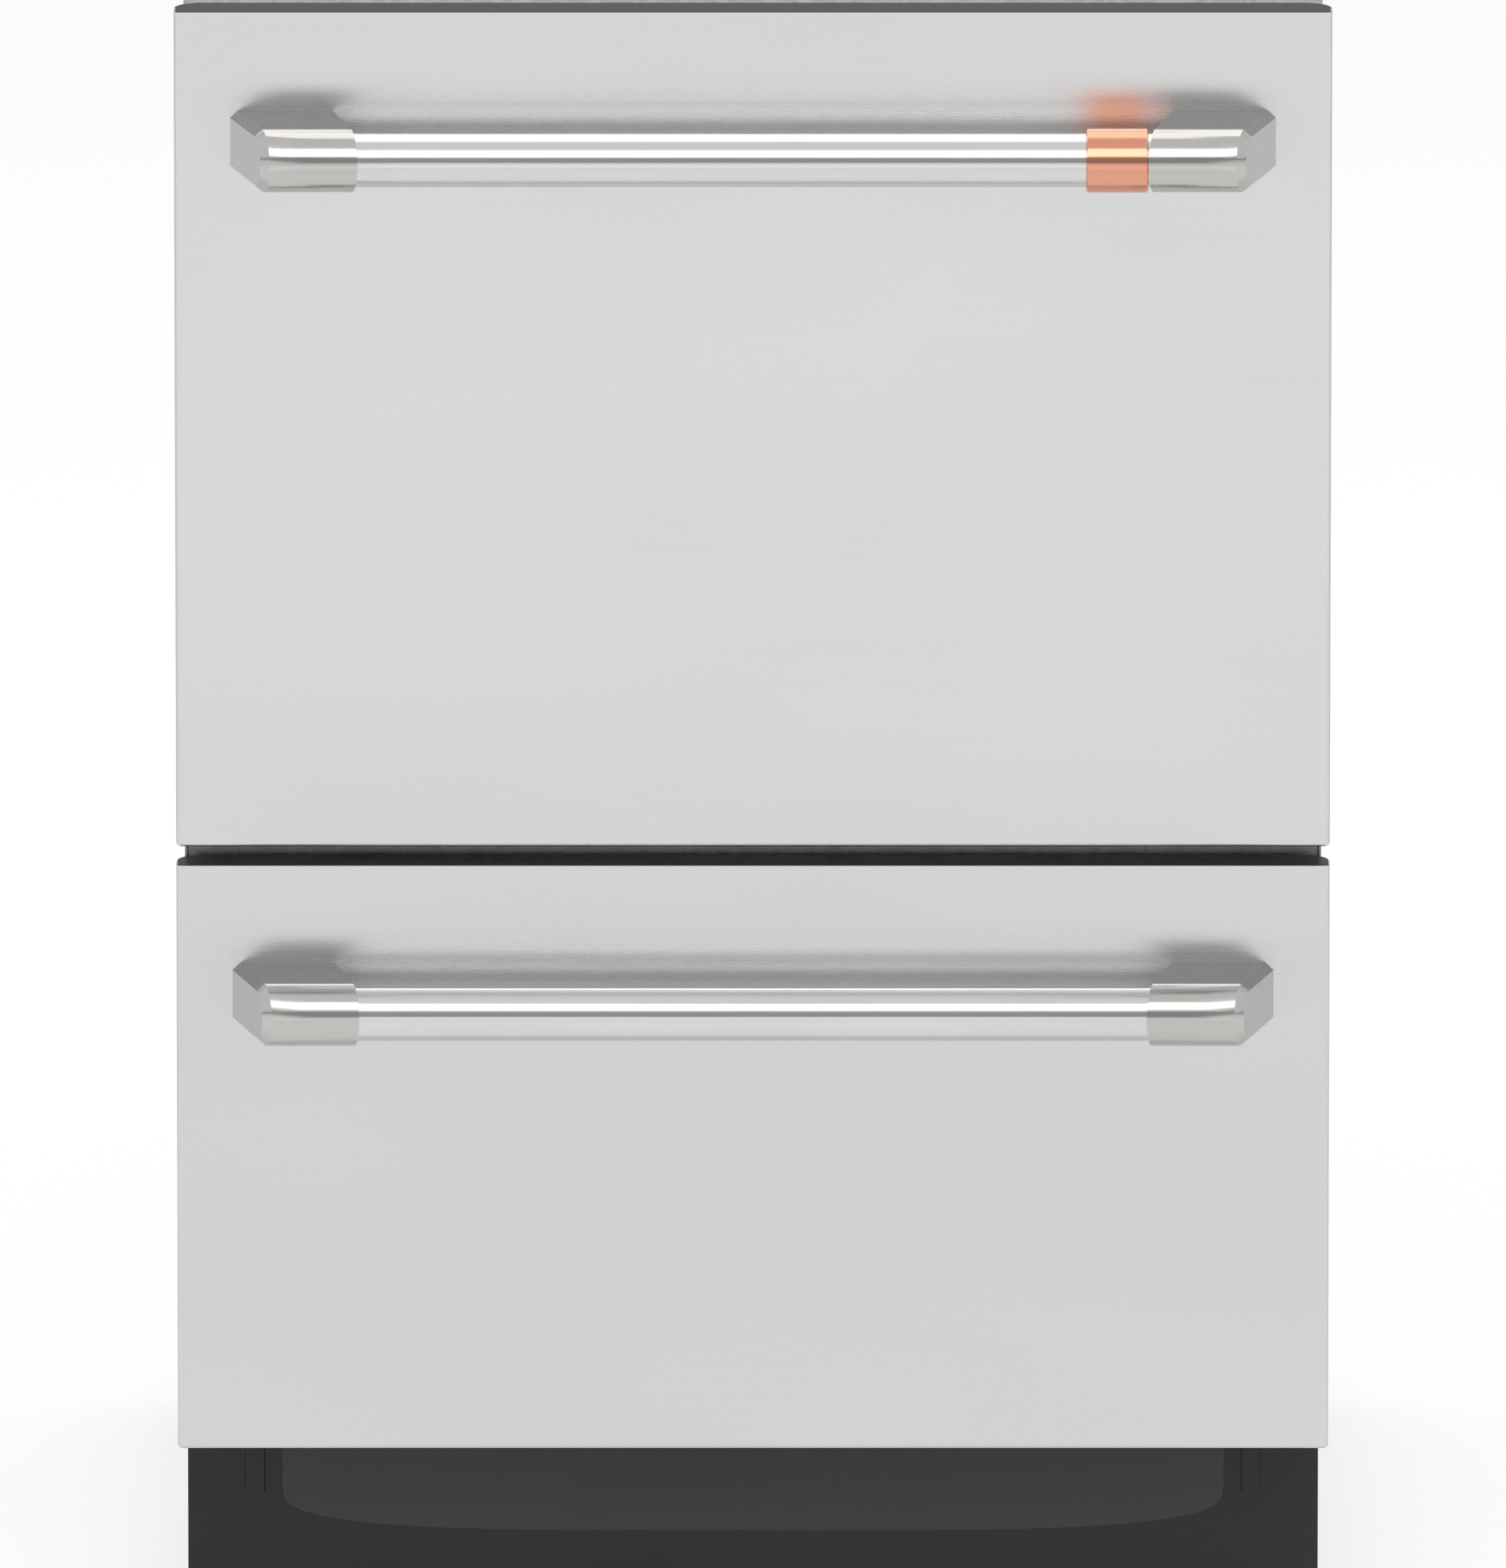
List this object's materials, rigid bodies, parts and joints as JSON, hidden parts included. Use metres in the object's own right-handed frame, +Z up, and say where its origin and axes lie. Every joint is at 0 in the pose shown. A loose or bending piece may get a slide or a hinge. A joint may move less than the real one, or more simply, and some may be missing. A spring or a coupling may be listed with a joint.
{
  "type": "double drawer dishwasher",
  "caption": "Built-in dishwasher with stacked steel-fronted wash drawers, bar handles with a ring on the upper bar, and a recessed dark toe kick.",
  "frame": {"origin": "on the floor, in the middle of the width, midway between the front of the handles and the back of the body", "axes": "+X to the right as seen from the front, -Y to the front, +Z up"},
  "size_m": [0.598, 0.6398, 0.864],
  "materials": {
    "front_steel": "horizontally brushed stainless steel",
    "handle_steel": "polished satin stainless steel",
    "bracket_steel": "satin stainless steel, a little warmer",
    "copper_trim": "polished copper tone",
    "frame_plastic": "dark moulded plastic",
    "strip_plastic": "dark gloss strip",
    "tub_plastic": "grey moulded tub",
    "runner_steel": "zinc plated steel",
    "filter_steel": "perforated stainless steel",
    "motor_plastic": "black motor housing",
    "impeller_plastic": "natural moulded plastic",
    "arm_plastic": "grey moulded spray arm",
    "basket_coat": "grey coated wire",
    "basket_plastic": "grey moulded insert",
    "dispenser_plastic": "dark grey moulded dispenser",
    "lid_plastic": "grey moulded lid",
    "seal_rubber": "dark soft seal",
    "link_steel": "plain steel bar",
    "chassis_steel": "galvanised sheet",
    "tray_plastic": "black moulded tray",
    "toe_black": "satin black",
    "toe_facing": "dark satin grey",
    "actuator_plastic": "dark grey housing",
    "valve_plastic": "white moulded valve",
    "drain_plastic": "grey moulded spigot",
    "gland_plastic": "black gland",
    "foot_plastic": "black moulded foot"
  },
  "bodies": {
    "chassis": {"right_side_panel": "chassis_steel", "left_side_panel": "chassis_steel", "back_panel": "chassis_steel", "top_panel": "chassis_steel", "base_tray": "tray_plastic", "front_rails": "chassis_steel", "toe_kick": "toe_black", "toe_kick_facing": "toe_facing", "foot_bushes": "gland_plastic", "outer_runners": "runner_steel", "guide_channels": "chassis_steel", "lid_actuators": "actuator_plastic", "water_inlet_valve": "valve_plastic", "drain_outlet": "drain_plastic", "cable_gland": "gland_plastic"},
    "upper_drawer": {"upper_front_panel": "front_steel", "upper_front_frame": "frame_plastic", "upper_control_strip": "strip_plastic", "upper_handle_bar": "handle_steel", "upper_handle_brackets": "bracket_steel", "upper_tub": "tub_plastic", "upper_inner_runners": "runner_steel", "upper_filter_plate": "filter_steel", "upper_wash_motor": "motor_plastic", "upper_basket": "basket_coat", "upper_dispenser": "dispenser_plastic", "upper_handle_ring": "copper_trim", "upper_cutlery_basket": "basket_plastic"},
    "upper_middle_runners": {"upper_middle_runners": "runner_steel"},
    "upper_impeller": {"upper_impeller": "impeller_plastic"},
    "upper_spray_arm": {"upper_spray_arm": "arm_plastic"},
    "upper_folding_tines": {"upper_folding_tines": "basket_coat"},
    "upper_dispenser_door": {"upper_dispenser_door": "dispenser_plastic"},
    "upper_lid": {"upper_lid": "lid_plastic", "upper_lid_seal": "seal_rubber"},
    "upper_lid_links": {"upper_lid_links": "link_steel"},
    "lower_drawer": {"lower_front_panel": "front_steel", "lower_front_frame": "frame_plastic", "lower_control_strip": "strip_plastic", "lower_handle_bar": "handle_steel", "lower_handle_brackets": "bracket_steel", "lower_tub": "tub_plastic", "lower_inner_runners": "runner_steel", "lower_filter_plate": "filter_steel", "lower_wash_motor": "motor_plastic", "lower_basket": "basket_coat", "lower_dispenser": "dispenser_plastic"},
    "lower_middle_runners": {"lower_middle_runners": "runner_steel"},
    "lower_impeller": {"lower_impeller": "impeller_plastic"},
    "lower_spray_arm": {"lower_spray_arm": "arm_plastic"},
    "lower_folding_tines": {"lower_folding_tines": "basket_coat"},
    "lower_dispenser_door": {"lower_dispenser_door": "dispenser_plastic"},
    "lower_lid": {"lower_lid": "lid_plastic", "lower_lid_seal": "seal_rubber"},
    "lower_lid_links": {"lower_lid_links": "link_steel"},
    "upper_cup_rack": {"upper_cup_rack": "basket_plastic"},
    "foot_front_left": {"foot_front_left": "foot_plastic"},
    "foot_front_right": {"foot_front_right": "foot_plastic"},
    "foot_rear_left": {"foot_rear_left": "foot_plastic"},
    "foot_rear_right": {"foot_rear_right": "foot_plastic"}
  },
  "joints": [
    {"name": "upper_drawer_slide", "type": "slide", "parent": "chassis", "child": "upper_drawer", "axis": [0, -1, 0], "range_m": [0, 0.5]},
    {"name": "upper_runner_slide", "type": "slide", "parent": "chassis", "child": "upper_middle_runners", "axis": [0, -1, 0], "range_m": [0, 0.25]},
    {"name": "upper_impeller_spin", "type": "hinge", "parent": "upper_drawer", "child": "upper_impeller", "pos_m": [0, 0.02287, 0.4777], "axis": [0, 0, 1], "continuous": true},
    {"name": "upper_spray_arm_spin", "type": "hinge", "parent": "upper_drawer", "child": "upper_spray_arm", "pos_m": [0, 0.02287, 0.5267], "axis": [0, 0, 1], "continuous": true},
    {"name": "upper_tines_fold", "type": "hinge", "parent": "upper_drawer", "child": "upper_folding_tines", "pos_m": [0, 0.04688, 0.55524], "axis": [-1, 0, 0], "range_deg": [0, 80]},
    {"name": "upper_dispenser_door_hinge", "type": "hinge", "parent": "upper_drawer", "child": "upper_dispenser_door", "pos_m": [-0.039, -0.19783, 0.7317], "axis": [-1, 0, 0], "range_deg": [0, 80]},
    {"name": "upper_lid_lift", "type": "slide", "parent": "chassis", "child": "upper_lid", "axis": [0, 0, -1], "range_m": [0, 0.008]},
    {"name": "upper_link_slide", "type": "slide", "parent": "chassis", "child": "upper_lid_links", "axis": [0, 1, 0], "range_m": [0, 0.02]},
    {"name": "lower_drawer_slide", "type": "slide", "parent": "chassis", "child": "lower_drawer", "axis": [0, -1, 0], "range_m": [0, 0.5]},
    {"name": "lower_runner_slide", "type": "slide", "parent": "chassis", "child": "lower_middle_runners", "axis": [0, -1, 0], "range_m": [0, 0.25]},
    {"name": "lower_impeller_spin", "type": "hinge", "parent": "lower_drawer", "child": "lower_impeller", "pos_m": [0, 0.02287, 0.1574], "axis": [0, 0, 1], "continuous": true},
    {"name": "lower_spray_arm_spin", "type": "hinge", "parent": "lower_drawer", "child": "lower_spray_arm", "pos_m": [0, 0.02287, 0.2064], "axis": [0, 0, 1], "continuous": true},
    {"name": "lower_tines_fold", "type": "hinge", "parent": "lower_drawer", "child": "lower_folding_tines", "pos_m": [0, 0.04688, 0.23494], "axis": [-1, 0, 0], "range_deg": [0, 80]},
    {"name": "lower_dispenser_door_hinge", "type": "hinge", "parent": "lower_drawer", "child": "lower_dispenser_door", "pos_m": [-0.039, -0.19783, 0.2814], "axis": [-1, 0, 0], "range_deg": [0, 80]},
    {"name": "lower_lid_lift", "type": "slide", "parent": "chassis", "child": "lower_lid", "axis": [0, 0, -1], "range_m": [0, 0.008]},
    {"name": "lower_link_slide", "type": "slide", "parent": "chassis", "child": "lower_lid_links", "axis": [0, 1, 0], "range_m": [0, 0.02]},
    {"name": "upper_cup_rack_fold", "type": "hinge", "parent": "upper_drawer", "child": "upper_cup_rack", "pos_m": [-0.23675, 0.02287, 0.6497], "axis": [0, -1, 0], "range_deg": [0, 80]},
    {"name": "foot_front_left_screw", "type": "slide", "parent": "chassis", "child": "foot_front_left", "axis": [0, 0, -1], "range_m": [0, 0.025]},
    {"name": "foot_front_right_screw", "type": "slide", "parent": "chassis", "child": "foot_front_right", "axis": [0, 0, -1], "range_m": [0, 0.025]},
    {"name": "foot_rear_left_screw", "type": "slide", "parent": "chassis", "child": "foot_rear_left", "axis": [0, 0, -1], "range_m": [0, 0.025]},
    {"name": "foot_rear_right_screw", "type": "slide", "parent": "chassis", "child": "foot_rear_right", "axis": [0, 0, -1], "range_m": [0, 0.025]}
  ],
  "couplings": [
    {"joint": "upper_runner_slide", "follows": "upper_drawer_slide", "ratio": 0.5},
    {"joint": "upper_link_slide", "follows": "upper_lid_lift", "ratio": 2.5},
    {"joint": "lower_runner_slide", "follows": "lower_drawer_slide", "ratio": 0.5},
    {"joint": "lower_link_slide", "follows": "lower_lid_lift", "ratio": 2.5}
  ]
}
